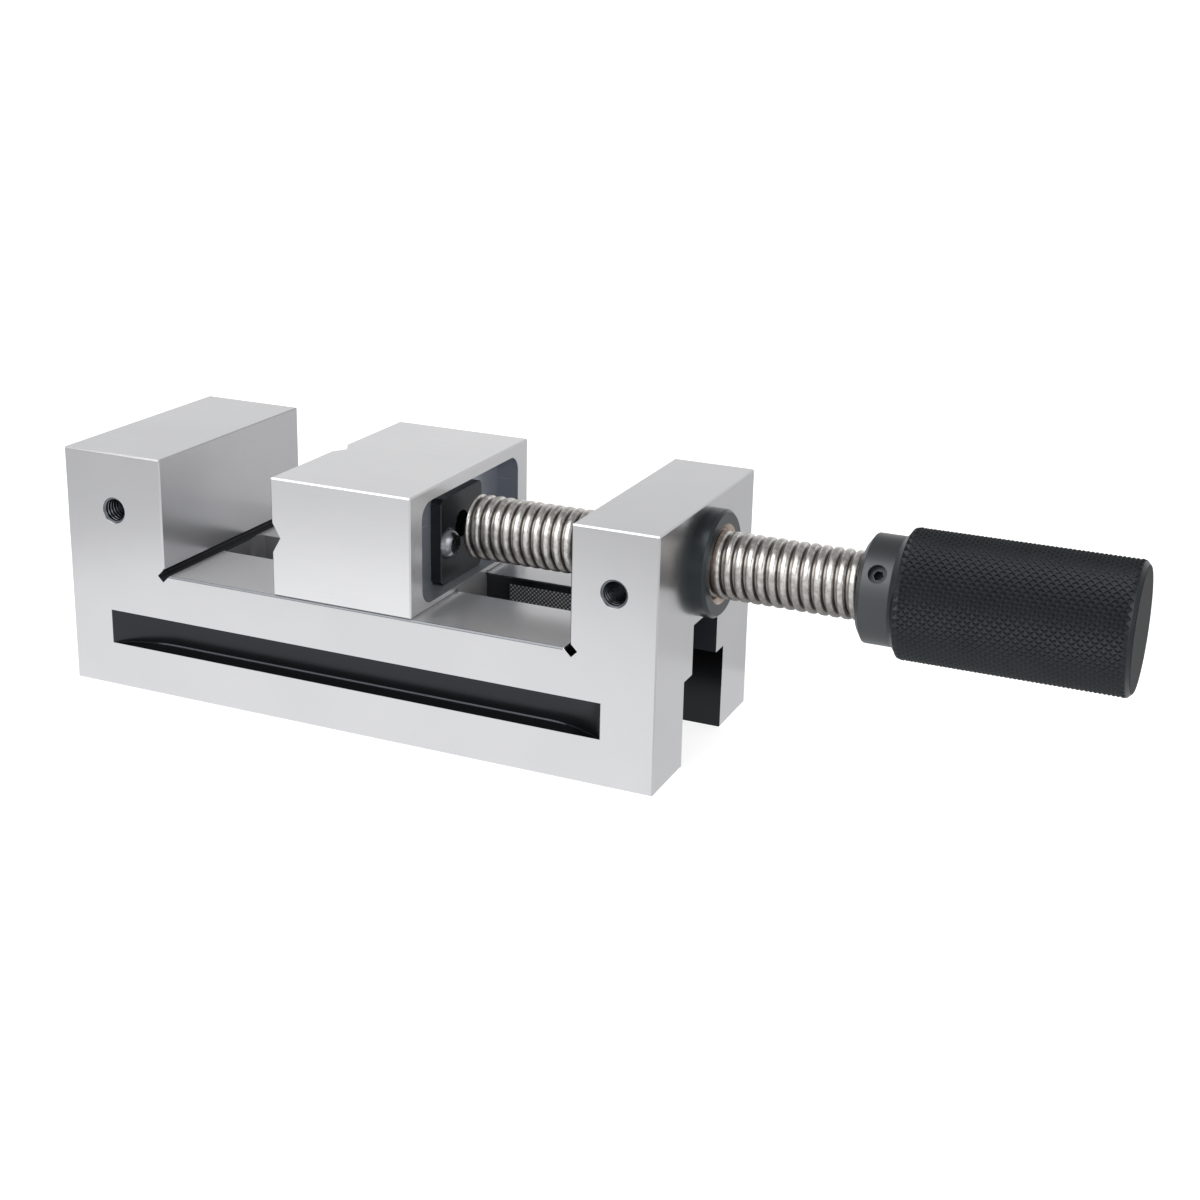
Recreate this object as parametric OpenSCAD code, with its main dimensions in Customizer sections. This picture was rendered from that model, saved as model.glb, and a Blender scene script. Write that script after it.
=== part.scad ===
// Toolmakers vise: a ground steel body with a fixed jaw, a sliding jaw that is keyed
// into a channel in the bed, and a screw with a knurled handle.
// X runs from the fixed jaw to the handle, Y across the jaws, Z up from the base.
// The origin is under the middle of the whole vise, on the surface that it stands on.

/* [Body] */
// Length of the body, from the fixed jaw's end to the nut block's end
body_length = 190; // [180:1:220]
// Width of the body and of both jaws
body_width = 73; // [68:1:90]
// Height of the jaws above the base
body_height = 73; // [71:0.5:80]
// Height of the bed above the base
bed_height = 38; // [36:0.5:39.5]
// Thickness of the fixed jaw
fixed_jaw_length = 34; // [28:1:42]
// Thickness of the block that holds the nut
nut_block_length = 25; // [20:1:32]
// Bevel along the outer edges
edge_bevel = 0.4; // [0.2:0.1:1.2]
// Width of the square relief in the corners between the bed and the jaws
relief_width = 2.6; // [1.6:0.1:3.4]
// Distance from such a corner to the floor of its relief
relief_depth = 1.9; // [1.2:0.1:2.8]

/* [Channel] */
// Width of the narrow channel that guides the sliding jaw
channel_width = 19; // [16:0.5:22]
// Distance from the fixed jaw's face to the end of the channel
channel_end_gap = 0.5; // [0.2:0.1:2]
// Radius in the corners at the end of the channel
channel_corner = 3.5; // [2:0.5:6]
// Width of the wide channel underneath, which the keeper plate runs in
undercut_width = 31; // [28:0.5:36]
// Height of the wide channel's ceiling above the base
undercut_height = 25.4; // [24:0.2:28]
// Height of the channel above the bed, where it passes through the nut block
passage_rise = 2; // [0.5:0.1:2.4]

/* [Clamping slots and holes] */
// Distance from the fixed jaw's end to the start of a side slot
slot_start = 13.9; // [8:0.1:20]
// Length of a side slot
slot_length = 160.5; // [140:0.5:165]
// Height of the side slot's floor above the base
slot_floor = 13.6; // [10:0.1:15]
// Height of the side slot's mouth
slot_height = 10.5; // [8:0.5:11]
// Depth of the side slot
slot_depth = 6; // [4:0.5:8]
// Radius of the cutter that leaves the slot's curved ends
slot_cutter_radius = 32; // [20:1:45]
// Diameter of the tapped holes in the sides
side_hole_d = 6.8; // [5:0.1:8.5]
// Depth of the tapped holes
side_hole_depth = 14; // [10:1:18]
// Bevel at the mouth of a tapped hole
side_hole_bevel = 0.6; // [0.3:0.1:1]

/* [Sliding jaw] */
// Opening between the jaws as the vise stands
jaw_opening = 37.9; // [20:0.1:60]
// Length of the sliding jaw
jaw_length = 44.8; // [40:0.1:55]
// Width of the vee grooves in the sliding jaw's face
vee_width = 10; // [6:0.5:14]
// Depth of the vee grooves
vee_depth = 2.9; // [2:0.1:3.5]
// Wall between the pocket and the sides of the jaw
pocket_side_wall = 6.6; // [5:0.1:12]
// Wall between the pocket and the top of the jaw
pocket_roof = 3.5; // [2:0.1:5]
// Wall between the pocket and the bed
pocket_sill = 1.7; // [1.5:0.1:4]
// Depth of the pocket in the back of the jaw
pocket_depth = 6.9; // [5:0.1:9]
// Radius in the corners of the pocket
pocket_corner = 5; // [2:0.5:7]
// Distance that the guide tongue is set back from the jaw's face
tongue_setback = 6; // [5:0.5:10]
// Radius of the relief along the root of the tongue
tongue_relief = 0.7; // [0.4:0.1:1]
// Side play of the tongue in the channel, on each side
tongue_play = 0.08; // [0.05:0.01:0.15]
// Lift of the sliding jaw over the bed
slide_lift = 0.05; // [0.03:0.01:0.1]

/* [Keeper] */
// Length of the keeper plate
keeper_length = 34; // [28:1:38]
// Thickness of the keeper plate
keeper_thickness = 10; // [9:0.5:12]
// Play between the keeper plate and the walls of the wide channel
keeper_side_play = 0.4; // [0.3:0.1:0.8]
// Play between the keeper plate and the ceiling that it bears on
keeper_play = 0.1; // [0.05:0.01:0.15]
// Distance between the two keeper screws
keeper_screw_spacing = 18; // [16:1:22]
// Diameter of the keeper screws
keeper_screw_d = 6; // [5:0.5:6]
// Length of a keeper screw under its head
keeper_screw_length = 12; // [10:1:14]

/* [Screw] */
// Outside diameter of the screw
screw_d = 19; // [17:0.1:19.5]
// Distance that the screw moves in one turn
pitch = 3.175; // [2.5:0.025:4]
// Depth of the screw thread
thread_depth = 1.4; // [1:0.1:1.8]
// Width of the flat at the top of the thread, as a share of the pitch
crest_share = 0.62; // [0.4:0.01:0.65]
// Slope of the thread's flanks
flank_angle = 14.5; // [10:0.5:20]
// Length of the threaded part
thread_length = 117.4; // [105:0.1:140]
// Distance from the back of the sliding jaw to the start of the thread
thread_gap = 1.2; // [0.8:0.1:6]
// Diameter of the neck that turns in the sliding jaw
neck_d = 8; // [6:0.5:8.5]
// Diameter of the plain end that the handle is fixed on
journal_d = 14; // [12:0.5:14.5]
// Length of the plain end
journal_length = 30; // [20:1:45]
// Diameter of the thrust collar on the end of the neck
thrust_collar_d = 12; // [11:0.5:12]
// Length of the thrust collar
thrust_collar_length = 6; // [5:0.5:8]
// Diameter of the pin through the thrust collar
thrust_pin_d = 2; // [1.5:0.1:2.5]
// End play of the screw in the sliding jaw
end_play = 0.3; // [0.2:0.05:0.4]
// Radial play of turning parts
running_play = 0.05; // [0.03:0.01:0.1]
// Radial play between fixed parts
seat_play = 0.02; // [0.01:0.01:0.04]

/* [Retaining plate] */
// Width of the retaining plate
plate_width = 25.2; // [24:0.2:30]
// Height of the plate's top above the screw's axis
plate_reach = 10.2; // [9:0.1:12]
// Thickness of the plate
plate_thickness = 3.5; // [3:0.1:4.5]
// Bevel across the corners of the plate
plate_corner = 1.4; // [0.5:0.1:2.5]
// Distance from the middle to a retaining screw, across the vise
plate_screw_y = 8.4; // [8:0.1:9]
// Distance of the retaining screws below the screw's axis
plate_screw_drop = 3.7; // [3.5:0.1:6]
// Diameter of the retaining screws
plate_screw_d = 4; // [3:0.5:4]
// Length of a retaining screw under its head
plate_screw_length = 12; // [10:1:16]
// Diameter of the retaining screw's button head
plate_head_d = 9.2; // [7:0.1:9.2]
// Height of the button head
plate_head_height = 2.5; // [2:0.1:3]

/* [Nut] */
// Outside diameter of the nut's sleeve
nut_d = 24; // [23:0.5:26]
// Diameter of the nut's flange
nut_flange_d = 30.4; // [28:0.2:32]
// Thickness of the nut's flange
nut_flange_length = 4.5; // [3:0.5:6]
// Bevel on the edge of the flange
nut_flange_bevel = 0.8; // [0.3:0.1:1.2]
// Bevel at the mouth of the nut
nut_mouth_bevel = 1.4; // [0.8:0.1:1.8]
// Radial play of the screw in the nut
nut_play = 0.3; // [0.2:0.05:0.5]

/* [Handle] */
// Diameter of the smooth collar of the handle
collar_d = 29.8; // [27:0.2:31.4]
// Length of the smooth collar
collar_length = 9.2; // [8:0.2:14]
// Width of the bevel on the front of the collar
collar_bevel = 2.1; // [1:0.1:3]
// Diameter of the knurled grip over its points
grip_d = 35.6; // [33:0.2:40]
// Length of the grip with its slope and bevel
grip_length = 62; // [50:1:80]
// Length of the slope between the collar and the grip
grip_lead = 2.2; // [1.5:0.1:3]
// Bevel at the free end of the grip
grip_bevel = 1.2; // [0.8:0.1:2.5]
// Depth of the knurl
knurl_depth = 0.6; // [0.3:0.1:0.8]
// Number of points of the knurl around the grip
knurl_count = 36; // [24:1:40]
// Number of rows of points along the grip
knurl_rows = 18; // [12:1:20]
// Diameter of the set screw
set_screw_d = 5; // [4:0.5:6]
// Length of the set screw
set_screw_length = 6; // [5:0.5:7]
// Angle of the set screw above the horizontal, on the front side
set_screw_angle = 33.6; // [0:0.1:90]

/* [Hidden] */
$fn = 64;
// Steps around one turn of the thread
thread_steps = 18;
// Overlap that keeps a cut clear of the face it starts from
over = 1;

ground_steel = [0.80, 0.80, 0.82];
bright_steel = [0.72, 0.71, 0.70];
black_oxide = [0.20, 0.22, 0.24];

screw_z = (bed_height + body_height) / 2;
nut_block_x = body_length - nut_block_length;
jaw_x = fixed_jaw_length + jaw_opening;
jaw_back = jaw_x + jaw_length;
pocket_x = jaw_back - pocket_depth;
plate_front = pocket_x + plate_thickness;
tongue_bottom = undercut_height - keeper_play;
keeper_x = (jaw_x + tongue_setback + jaw_back - keeper_length) / 2;
keeper_head_d = keeper_screw_d * 1.65;
keeper_head_height = keeper_screw_d;
keeper_bore_d = keeper_head_d + 1;
keeper_bore_depth = keeper_head_height + 0.5;
thread_start = jaw_back + thread_gap;
thread_end = thread_start + thread_length;
collar_rear = pocket_x - end_play;
collar_front = collar_rear - thrust_collar_length;
neck_end = collar_front - thrust_collar_length;
thrust_bore_bottom = neck_end - end_play;
thrust_bore_d = thrust_collar_d + 2 * end_play;
handle_x = thread_end + 0.1;
grip_x = handle_x + collar_length;
handle_end = grip_x + grip_length;
overall_length = handle_end;
collar_r = collar_d / 2;
grip_r = grip_d / 2;
valley_r = grip_r - knurl_depth;
set_screw_x = handle_x + collar_length * 0.6;

// Moves a piece from the bench position, with the fixed jaw's end at X = 0, to the origin
module placed() {
    translate([-overall_length / 2, 0, 0]) children();
}

// A shaft along X that starts at x, on the screw's axis
module along_axis(x) {
    translate([x, 0, screw_z]) rotate([0, 90, 0]) children();
}

// Rectangle with bevelled corners, from corner to corner
module bevelled_rect(low, high, bevel) {
    polygon([[low[0] + bevel, low[1]], [high[0] - bevel, low[1]],
             [high[0], low[1] + bevel], [high[0], high[1] - bevel],
             [high[0] - bevel, high[1]], [low[0] + bevel, high[1]],
             [low[0], high[1] - bevel], [low[0], low[1] + bevel]]);
}

// Rectangle with round corners, from corner to corner
module round_rect(low, high, radius) {
    translate([low[0] + radius, low[1]])
        square([high[0] - low[0] - 2 * radius, high[1] - low[1]]);
    translate([low[0], low[1] + radius])
        square([high[0] - low[0], high[1] - low[1] - 2 * radius]);
    for (x = [low[0] + radius, high[0] - radius], y = [low[1] + radius, high[1] - radius])
        translate([x, y]) circle(r = radius);
}

// Block with every edge bevelled: three bevelled prisms that cross
module bevelled_block(low, high, bevel) {
    intersection() {
        translate([0, 0, low[2]]) linear_extrude(high[2] - low[2])
            bevelled_rect([low[0], low[1]], [high[0], high[1]], bevel);
        translate([0, high[1], 0]) rotate([90, 0, 0]) linear_extrude(high[1] - low[1])
            bevelled_rect([low[0], low[2]], [high[0], high[2]], bevel);
        translate([low[0], 0, 0]) rotate([90, 0, 90]) linear_extrude(high[0] - low[0])
            bevelled_rect([low[1], low[2]], [high[1], high[2]], bevel);
    }
}

// Square bar turned to 45 degrees, which bevels the edge that it is centred on
module edge_cut(length) {
    rotate([0, 0, 45]) cube([edge_bevel * sqrt(2), edge_bevel * sqrt(2), length], center = true);
}

// Relief cut into the corner between the bed and an upright face; side is 1 or -1
module corner_relief(x, side) {
    translate([x, 0, bed_height]) rotate([0, side * 45, 0])
        translate([-relief_width / 2, -body_width / 2 - over, -relief_depth])
            cube([relief_width, body_width + 2 * over, relief_depth + relief_width]);
}

// Long slot in one side; the cutter's radius shows in plan at both ends
module side_slot() {
    reach = sqrt(pow(slot_cutter_radius, 2) - pow(slot_cutter_radius - slot_depth, 2));
    floor_y = -body_width / 2 + slot_depth;
    for (x = [slot_start + reach, slot_start + slot_length - reach])
        translate([x, floor_y - slot_cutter_radius, slot_floor])
            cylinder(r = slot_cutter_radius, h = slot_height, $fn = 128);
    translate([slot_start + reach, floor_y - slot_cutter_radius, slot_floor])
        cube([slot_length - 2 * reach, slot_cutter_radius, slot_height]);
}

// Tapped hole in one side with a bevelled mouth
module side_hole(x) {
    translate([x, -body_width / 2, screw_z]) rotate([-90, 0, 0]) {
        translate([0, 0, -over]) cylinder(d = side_hole_d, h = side_hole_depth + over);
        translate([0, 0, -over]) cylinder(d1 = side_hole_d + 2 * (side_hole_bevel + over),
                                          d2 = side_hole_d, h = side_hole_bevel + over);
    }
}

// Channel with rounded corners at its closed end, open past the nut block
module channel(width, bottom, top, end_x) {
    translate([0, 0, bottom]) linear_extrude(top - bottom) union() {
        translate([end_x + channel_corner, -width / 2])
            square([body_length + over - end_x - channel_corner, width]);
        translate([end_x, -width / 2 + channel_corner])
            square([2 * channel_corner, width - 2 * channel_corner]);
        for (side = [-1, 1])
            translate([end_x + channel_corner, side * (width / 2 - channel_corner)])
                circle(r = channel_corner);
    }
}

// Body: bed, fixed jaw and nut block, ground from one block of steel
module body() {
    channel_x = fixed_jaw_length + channel_end_gap;
    color(ground_steel) placed() difference() {
        bevelled_block([0, -body_width / 2, 0], [body_length, body_width / 2, body_height],
                       edge_bevel);
        // Space between the jaws, with bevelled top edges
        translate([0, body_width / 2 + over, 0]) rotate([90, 0, 0])
            linear_extrude(body_width + 2 * over)
                polygon([[fixed_jaw_length, bed_height], [nut_block_x, bed_height],
                         [nut_block_x, body_height - edge_bevel],
                         [nut_block_x + edge_bevel + over, body_height + over],
                         [fixed_jaw_length - edge_bevel - over, body_height + over],
                         [fixed_jaw_length, body_height - edge_bevel]]);
        corner_relief(fixed_jaw_length, 1);
        corner_relief(nut_block_x, -1);
        // Bevels along the bed and up the inner corners of the jaws
        for (side = [-1, 1]) {
            translate([(fixed_jaw_length + nut_block_x) / 2, side * body_width / 2, bed_height])
                rotate([0, 90, 0]) edge_cut(nut_block_x - fixed_jaw_length);
            for (x = [fixed_jaw_length, nut_block_x])
                translate([x, side * body_width / 2, (bed_height + body_height) / 2])
                    edge_cut(body_height - bed_height);
        }
        // Narrow channel through the bed, and its passage under the nut
        channel(channel_width, undercut_height - over, bed_height + over, channel_x);
        translate([nut_block_x - over, -channel_width / 2, undercut_height])
            cube([nut_block_length + 2 * over, channel_width,
                  bed_height + passage_rise - undercut_height]);
        channel(undercut_width, -over, undercut_height, channel_x);
        for (side = [0, 1]) mirror([0, side, 0]) {
            side_slot();
            side_hole(fixed_jaw_length / 2);
            side_hole(nut_block_x + nut_block_length / 2);
        }
        along_axis(nut_block_x - over) cylinder(d = nut_d + 2 * seat_play,
                                                h = nut_block_length + 2 * over);
    }
}

// Groove with a vee section, cut into a face at X = 0 and running along Z
module vee_groove(length) {
    linear_extrude(length, center = true)
        polygon([[-over, -vee_width / 2 * (1 + over / vee_depth)], [vee_depth, 0],
                 [-over, vee_width / 2 * (1 + over / vee_depth)]]);
}

// Sliding jaw with its tongue, two crossing vee grooves and a pocket for the screw's end
module sliding_jaw() {
    bottom = bed_height + slide_lift;
    half_tongue = channel_width / 2 - tongue_play;
    pocket_half = body_width / 2 - pocket_side_wall;
    color(ground_steel) placed() difference() {
        union() {
            bevelled_block([jaw_x, -body_width / 2, bottom],
                           [jaw_back, body_width / 2, body_height], edge_bevel);
            translate([jaw_x + tongue_setback, -half_tongue, tongue_bottom])
                cube([jaw_length - tongue_setback, 2 * half_tongue,
                      bottom + edge_bevel - tongue_bottom]);
        }
        for (side = [-1, 1])
            translate([jaw_x - over, side * half_tongue, bottom]) rotate([0, 90, 0])
                cylinder(r = tongue_relief, h = jaw_length + 2 * over);
        translate([jaw_x, 0, screw_z]) {
            vee_groove(body_height);
            rotate([90, 0, 0]) vee_groove(body_width + 2 * over);
        }
        translate([pocket_x, 0, 0]) rotate([90, 0, 90]) linear_extrude(pocket_depth + over)
            round_rect([-pocket_half, bed_height + pocket_sill],
                       [pocket_half, body_height - pocket_roof], pocket_corner);
        along_axis(thrust_bore_bottom)
            cylinder(d = thrust_bore_d, h = pocket_x - thrust_bore_bottom + over);
        at_plate_screws(plate_front - plate_screw_length - over)
            cylinder(d = plate_screw_d + 2 * seat_play, h = plate_screw_length);
        at_keeper_screws(tongue_bottom - over)
            cylinder(d = keeper_screw_d + 2 * seat_play, h = keeper_screw_length + 2 * over);
    }
}

// Places for the two keeper screws, pointing up from height z
module at_keeper_screws(z) {
    for (side = [-1, 1])
        translate([keeper_x + keeper_length / 2 + side * keeper_screw_spacing / 2, 0, z])
            children();
}

// Places for the two retaining screws, pointing out of the pocket from x
module at_plate_screws(x) {
    for (side = [-1, 1])
        translate([x, side * plate_screw_y, screw_z - plate_screw_drop]) rotate([0, 90, 0])
            children();
}

// Keeper plate: holds the sliding jaw down from inside the wide channel
module keeper_plate() {
    half = undercut_width / 2 - keeper_side_play;
    color(ground_steel) placed() difference() {
        bevelled_block([keeper_x, -half, tongue_bottom - keeper_thickness],
                       [keeper_x + keeper_length, half, tongue_bottom], edge_bevel);
        at_keeper_screws(tongue_bottom - keeper_thickness - over) {
            cylinder(d = keeper_screw_d + 4 * running_play, h = keeper_thickness + 2 * over);
            cylinder(d = keeper_bore_d, h = keeper_bore_depth + over);
        }
    }
}

// Socket head screw standing on its head at Z = 0, shank upwards
module socket_screw(d, length, head_d, head_height, hex) {
    difference() {
        union() {
            cylinder(d1 = head_d - d * 0.1, d2 = head_d, h = d * 0.05);
            translate([0, 0, d * 0.05]) cylinder(d = head_d, h = head_height - d * 0.05);
            cylinder(d = d, h = head_height + length - d * 0.1);
            translate([0, 0, head_height + length - d * 0.1])
                cylinder(d1 = d, d2 = d * 0.8, h = d * 0.1);
        }
        translate([0, 0, -over]) cylinder(d = hex / cos(30), h = over + head_height / 2, $fn = 6);
    }
}

// Two socket head screws that hold the keeper plate to the tongue
module keeper_screws() {
    color(black_oxide) placed()
        at_keeper_screws(tongue_bottom - keeper_thickness + keeper_bore_depth
                         - keeper_head_height)
            socket_screw(keeper_screw_d, keeper_screw_length
                         - keeper_bore_depth + keeper_thickness,
                         keeper_head_d, keeper_head_height, keeper_screw_d * 0.8);
}

// Retaining plate: holds the thrust collar in the sliding jaw
module retaining_plate() {
    bottom = bed_height + pocket_sill + seat_play;
    color(black_oxide) placed() difference() {
        intersection() {
            bevelled_block([pocket_x, -plate_width / 2, bottom],
                           [plate_front, plate_width / 2, screw_z + plate_reach],
                           edge_bevel / 2);
            translate([pocket_x, 0, 0]) rotate([90, 0, 90]) linear_extrude(plate_thickness)
                bevelled_rect([-plate_width / 2, bottom],
                              [plate_width / 2, screw_z + plate_reach], plate_corner);
        }
        along_axis(pocket_x - over)
            cylinder(d = neck_d + 2 * running_play, h = plate_thickness + 2 * over);
        at_plate_screws(pocket_x - over)
            cylinder(d = plate_screw_d + 4 * running_play, h = plate_thickness + 2 * over);
    }
}

// Two button head screws that hold the retaining plate in the pocket
module retaining_screws() {
    head_r = plate_head_d / 2;
    top_r = head_r * 0.62;
    color(black_oxide) placed() at_plate_screws(plate_front) difference() {
        union() {
            intersection() {
                cylinder(r = head_r, h = plate_head_height);
                dome(head_r, top_r, plate_head_height);
            }
            translate([0, 0, -plate_screw_length]) cylinder(d = plate_screw_d,
                                                            h = plate_screw_length);
        }
        translate([0, 0, plate_head_height * 0.4])
            cylinder(d = plate_screw_d * 0.625 / cos(30), h = plate_head_height, $fn = 6);
    }
}

// Ball that gives a button head its dome: radius low_r at Z = 0 and high_r at Z = height
module dome(low_r, high_r, height) {
    centre = (pow(high_r, 2) + pow(height, 2) - pow(low_r, 2)) / (2 * height);
    translate([0, 0, centre]) sphere(r = sqrt(pow(low_r, 2) + pow(centre, 2)));
}

// Points of the thread, four for each step: root, crest, crest, root
function thread_points(steps, root_r, crest_r) =
    let (crest = pitch * crest_share,
         flank = thread_depth * tan(flank_angle),
         along = [0, flank, flank + crest, 2 * flank + crest],
         radius = [root_r, crest_r, crest_r, root_r])
    [for (i = [0:steps], k = [0:3])
        let (turn = 360 * i / thread_steps)
        [pitch * i / thread_steps + along[k], radius[k] * cos(turn), radius[k] * sin(turn)]];

// Solid thread along X, longer than needed, with a spiral face at each end
module thread_solid(turns, root_r, crest_r) {
    steps = turns * thread_steps;
    points = thread_points(steps, root_r, crest_r);
    start = len(points);
    end = start + 1;
    last = 4 * steps;
    turn = 4 * thread_steps;
    side = [for (i = [0:steps - 1], k = [0:2])
        each [[4 * i + k, 4 * i + k + 1, 4 * i + k + 5], [4 * i + k, 4 * i + k + 5, 4 * i + k + 4]]];
    root = [for (i = [0:steps - thread_steps - 1])
        each [[4 * i + 3, 4 * i + turn, 4 * i + turn + 4], [4 * i + 3, 4 * i + turn + 4, 4 * i + 7]]];
    front = [for (i = [0:thread_steps - 1]) [start, 4 * i, 4 * i + 4]];
    front_seam = [[start, turn, 3], [start, 3, 2], [start, 2, 1], [start, 1, 0]];
    back = [for (i = [steps - thread_steps:steps - 1]) [end, 4 * i + 7, 4 * i + 3]];
    back_seam = [[end, last - turn + 3, last], [end, last, last + 1],
                 [end, last + 1, last + 2], [end, last + 2, last + 3]];
    polyhedron(points = concat(points, [[points[0][0], 0, 0], [points[last + 3][0], 0, 0]]),
               faces = concat(side, root, front, front_seam, back, back_seam));
}

// Screw: neck, coarse thread with bevelled ends, and the plain end under the handle
module spindle() {
    crest_r = screw_d / 2;
    root_r = crest_r - thread_depth;
    turns = ceil(thread_length / pitch) + 3;
    color(bright_steel) placed() difference() {
        union() {
            intersection() {
                translate([thread_start - 1.5 * pitch, 0, screw_z])
                    thread_solid(turns, root_r, crest_r);
                along_axis(thread_start) rotate_extrude()
                    polygon([[0, 0], [root_r, 0], [crest_r + over, thread_depth + over],
                             [crest_r + over, thread_length], [0, thread_length]]);
            }
            along_axis(neck_end)
                cylinder(d = neck_d, h = thread_start + over - neck_end);
            along_axis(thread_end - over)
                cylinder(d = journal_d, h = journal_length + over);
        }
        translate([(collar_front + collar_rear) / 2, 0, screw_z])
            cylinder(d = thrust_pin_d + 2 * seat_play, h = neck_d + over, center = true);
    }
}

// Thrust collar: pinned to the end of the neck, behind the retaining plate
module thrust_collar() {
    color(bright_steel) placed() difference() {
        along_axis(collar_front) cylinder(d = thrust_collar_d, h = thrust_collar_length);
        along_axis(collar_front - over)
            cylinder(d = neck_d + 2 * seat_play, h = thrust_collar_length + 2 * over);
        translate([(collar_front + collar_rear) / 2, 0, screw_z])
            cylinder(d = thrust_pin_d + 2 * seat_play, h = thrust_collar_d + over,
                     center = true);
    }
}

// Pin through the thrust collar and the neck
module thrust_pin() {
    color(bright_steel) placed() translate([(collar_front + collar_rear) / 2, 0, screw_z])
        cylinder(d = thrust_pin_d, h = thrust_collar_d - 2 * running_play, center = true);
}

// Nut: flanged sleeve pressed into the nut block, with a bevelled mouth at each end
module spindle_nut() {
    bore_r = screw_d / 2 + nut_play;
    sleeve_r = nut_d / 2;
    flange_r = nut_flange_d / 2;
    length = nut_block_length - edge_bevel;
    color(black_oxide) placed() along_axis(nut_block_x + edge_bevel) rotate_extrude()
        polygon([[bore_r + nut_mouth_bevel, 0], [sleeve_r, 0], [sleeve_r, length],
                 [flange_r, length], [flange_r, length + nut_flange_length - nut_flange_bevel],
                 [flange_r - nut_flange_bevel, length + nut_flange_length],
                 [bore_r + nut_mouth_bevel, length + nut_flange_length],
                 [bore_r, length + nut_flange_length - nut_mouth_bevel],
                 [bore_r, nut_mouth_bevel]]);
}

// Knurled bar along X: points and valleys alternate, so that the facets form diamonds
module knurled_bar(length) {
    around = 2 * knurl_count;
    rows = 2 * knurl_rows;
    points = [for (j = [0:rows], i = [0:around - 1])
        let (peak = (i + j) % 2 == 0 && j > 0 && j < rows,
             radius = peak ? grip_r : valley_r,
             turn = 360 * i / around)
        [length * j / rows, radius * cos(turn), radius * sin(turn)]];
    side = [for (j = [0:rows - 1], i = [0:around - 1])
        let (a = j * around + i,
             b = a + around,
             d = j * around + (i + 1) % around,
             c = d + around)
        each (i + j) % 2 == 0 ? [[a, b, d], [b, c, d]] : [[a, b, c], [a, c, d]]];
    front = [[for (i = [0:around - 1]) i]];
    back = [[for (i = [around - 1:-1:0]) rows * around + i]];
    polyhedron(points = points, faces = concat(side, front, back));
}

// Handle: smooth collar and knurled grip, turned from one bar
module handle() {
    core_r = valley_r - knurl_depth;
    shoulder_r = valley_r + knurl_depth / 2;
    end_r = shoulder_r - grip_bevel;
    sink = knurl_depth / 4;
    total = collar_length + grip_length;
    color(black_oxide) placed() difference() {
        union() {
            along_axis(handle_x) rotate_extrude()
                polygon([[0, 0], [collar_r - collar_bevel, 0], [collar_r, collar_bevel * 0.7],
                         [collar_r, collar_length], [shoulder_r, collar_length + grip_lead],
                         [core_r, collar_length + grip_lead], [core_r, total - grip_bevel],
                         [shoulder_r, total - grip_bevel], [end_r, total], [0, total]]);
            translate([grip_x + grip_lead - sink, 0, screw_z])
                knurled_bar(grip_length - grip_lead - grip_bevel + 2 * sink);
        }
        along_axis(handle_x - over)
            cylinder(d = journal_d + 2 * seat_play, h = journal_length + end_play + over);
        at_set_screw(0) cylinder(d = set_screw_d, h = collar_r + over);
    }
}

// Place of the set screw, pointing out of the collar from a distance off the axis
module at_set_screw(distance) {
    translate([set_screw_x, 0, screw_z]) rotate([90 - set_screw_angle, 0, 0])
        translate([0, 0, distance]) children();
}

// Set screw that locks the handle on the plain end of the screw
module handle_set_screw() {
    r = set_screw_d / 2 - seat_play;
    tip = journal_d / 2 + seat_play;
    color(black_oxide) placed() difference() {
        at_set_screw(tip) union() {
            cylinder(r1 = r * 0.6, r2 = r, h = r * 0.4);
            translate([0, 0, r * 0.4]) cylinder(r = r, h = set_screw_length - r * 0.4);
        }
        at_set_screw(tip + set_screw_length / 2)
            cylinder(d = set_screw_d / 2 / cos(30), h = set_screw_length, $fn = 6);
    }
}

body();
sliding_jaw();
keeper_plate();
keeper_screws();
retaining_plate();
retaining_screws();
spindle();
thrust_collar();
thrust_pin();
spindle_nut();
handle();
handle_set_screw();
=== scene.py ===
import math

import bpy
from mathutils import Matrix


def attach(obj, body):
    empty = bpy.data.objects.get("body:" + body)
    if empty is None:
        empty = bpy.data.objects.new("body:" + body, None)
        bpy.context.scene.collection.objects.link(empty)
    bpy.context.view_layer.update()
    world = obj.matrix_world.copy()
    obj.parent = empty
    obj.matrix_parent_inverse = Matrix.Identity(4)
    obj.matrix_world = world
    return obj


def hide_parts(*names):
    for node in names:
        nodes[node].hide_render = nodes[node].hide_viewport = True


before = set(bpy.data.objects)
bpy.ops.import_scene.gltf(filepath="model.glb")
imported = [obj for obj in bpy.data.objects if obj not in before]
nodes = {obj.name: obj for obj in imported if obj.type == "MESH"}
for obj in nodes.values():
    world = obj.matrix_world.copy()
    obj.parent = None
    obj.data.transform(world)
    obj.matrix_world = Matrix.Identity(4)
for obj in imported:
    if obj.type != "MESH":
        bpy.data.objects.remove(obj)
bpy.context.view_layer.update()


# Body: one block of hardened steel, ground on its outer faces. The side slots, the channels,
# the corner reliefs and the tapped holes were cut before hardening and keep a dark scale.

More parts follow.
